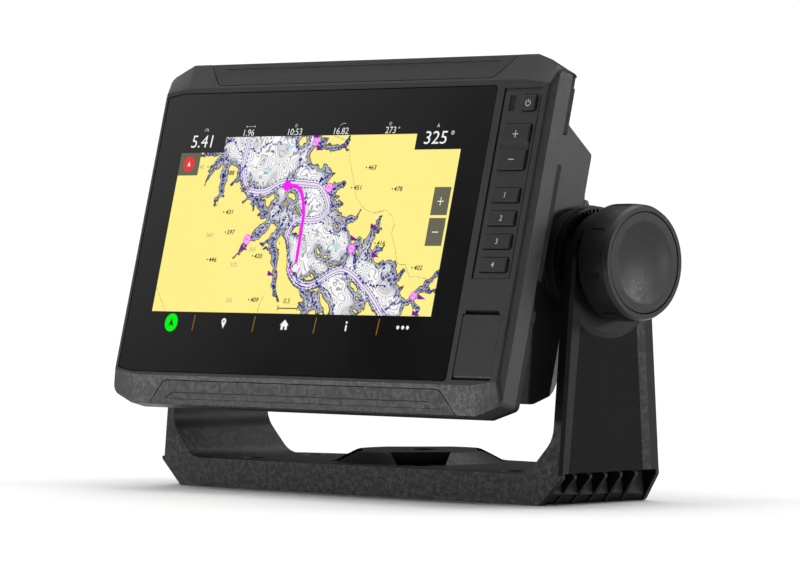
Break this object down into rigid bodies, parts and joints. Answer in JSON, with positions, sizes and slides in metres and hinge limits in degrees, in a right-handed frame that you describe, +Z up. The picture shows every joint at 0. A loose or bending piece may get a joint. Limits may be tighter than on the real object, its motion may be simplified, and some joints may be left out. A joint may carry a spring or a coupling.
{
  "type": "chartplotter display",
  "caption": "Boat chartplotter: a wide touch display with side keys, held by a quick-release cradle in a tilting, swivelling bail mount with two side knobs.",
  "frame": {"origin": "on the mounting surface, on the swivel axis of the bracket's base", "axes": "+Z up, -Y the way the screen faces, +X to the right of someone facing the screen"},
  "size_m": [0.2506, 0.1045, 0.1693],
  "materials": {
    "housing": "fine-grained moulded plastic",
    "trim": "fine-grained moulded plastic",
    "bracket": "fine-grained glass-filled nylon",
    "knob": "satin moulded plastic",
    "ratchet": "satin acetal",
    "keycap": "matte silicone",
    "silicone": "matte silicone",
    "cover_glass": "black-bordered bonded glass",
    "sensor_window": "smoked polycarbonate",
    "tape": "foam adhesive",
    "screen": "lit display showing a chart",
    "steel": "plated steel",
    "circuit": "solder-masked circuit board",
    "aluminium": "cast",
    "ceramic": "unglazed",
    "black_plastic": "satin moulded plastic",
    "brass": "turned"
  },
  "bodies": {
    "base": {"swivel_base": "bracket", "swivel_washer": "steel", "swivel_screw": "steel"},
    "bail": {"bail_bracket": "bracket"},
    "cradle": {"cradle_shell": "housing", "cradle_connector": "black_plastic", "socket_contacts": "brass", "latch_pin": "steel", "latch_spring": "steel", "pivot_insert_right": "brass", "pivot_insert_left": "brass", "ratchet_disc_right": "ratchet", "ratchet_disc_left": "ratchet"},
    "knob_right": {"knob_body_right": "knob", "knob_cap_right": "knob", "knob_stud_right": "steel"},
    "knob_left": {"knob_body_left": "knob", "knob_cap_left": "knob", "knob_stud_left": "steel"},
    "latch": {"latch_lever": "housing"},
    "head": {"front_bezel": "housing", "top_trim": "trim", "bottom_trim": "trim", "glass_lens": "cover_glass", "lens_tape": "tape", "lcd_panel": "screen", "lcd_frame": "steel", "light_sensor_window": "sensor_window", "keypad_mat": "silicone", "key_board": "circuit", "main_board": "circuit", "board_screws": "steel", "processor_shield": "steel", "heat_spreader": "aluminium", "gnss_antenna": "ceramic", "beeper": "black_plastic", "card_reader": "black_plastic", "head_connector": "black_plastic", "case_seal": "silicone", "rear_case": "housing", "case_screws": "steel", "card_door_pin": "steel"},
    "card_door": {"card_door": "housing"},
    "power_key": {"power_key": "keycap"},
    "zoom_rocker": {"zoom_rocker": "keycap"},
    "key_1": {"key_1": "keycap"},
    "key_2": {"key_2": "keycap"},
    "key_3": {"key_3": "keycap"},
    "key_4": {"key_4": "keycap"}
  },
  "joints": [
    {"name": "swivel", "type": "hinge", "parent": "base", "child": "bail", "pos_m": [0, 0, 0], "axis": [0, 0, 1], "range_deg": [-90, 90]},
    {"name": "tilt", "type": "hinge", "parent": "bail", "child": "cradle", "pos_m": [0, -0.0084, 0.091], "axis": [1, 0, 0], "range_deg": [-35, 15]},
    {"name": "knob_right_turn", "type": "hinge", "parent": "cradle", "child": "knob_right", "pos_m": [0.11, -0.0084, 0.091], "axis": [1, 0, 0], "range_deg": [0, 720]},
    {"name": "knob_left_turn", "type": "hinge", "parent": "cradle", "child": "knob_left", "pos_m": [-0.11, -0.0084, 0.091], "axis": [-1, 0, 0], "range_deg": [0, 720]},
    {"name": "head_release", "type": "slide", "parent": "cradle", "child": "head", "axis": [0, -0.9681, 0.2504], "range_m": [0, 0.04]},
    {"name": "latch_press", "type": "hinge", "parent": "cradle", "child": "latch", "pos_m": [0, -0.00836, 0.13509], "axis": [1, 0, 0], "range_deg": [-8, 0], "stiffness_Nm_per_rad": 0.06, "springref_deg": 5.73},
    {"name": "card_door_open", "type": "hinge", "parent": "head", "child": "card_door", "pos_m": [0.0911, -0.06516, 0.04887], "axis": [1, 0, 0], "range_deg": [0, 95]},
    {"name": "power_press", "type": "slide", "parent": "head", "child": "power_key", "axis": [0, 0.9681, -0.2504], "range_m": [0, 0.0008], "stiffness_N_per_m": 1500},
    {"name": "zoom_rock", "type": "hinge", "parent": "head", "child": "zoom_rocker", "pos_m": [0.0927, -0.04184, 0.13342], "axis": [1, 0, 0], "range_deg": [-3, 3], "stiffness_Nm_per_rad": 0.12},
    {"name": "key_1_press", "type": "slide", "parent": "head", "child": "key_1", "axis": [0, 0.9681, -0.2504], "range_m": [0, 0.0008], "stiffness_N_per_m": 1500},
    {"name": "key_2_press", "type": "slide", "parent": "head", "child": "key_2", "axis": [0, 0.9681, -0.2504], "range_m": [0, 0.0008], "stiffness_N_per_m": 1500},
    {"name": "key_3_press", "type": "slide", "parent": "head", "child": "key_3", "axis": [0, 0.9681, -0.2504], "range_m": [0, 0.0008], "stiffness_N_per_m": 1500},
    {"name": "key_4_press", "type": "slide", "parent": "head", "child": "key_4", "axis": [0, 0.9681, -0.2504], "range_m": [0, 0.0008], "stiffness_N_per_m": 1500}
  ]
}
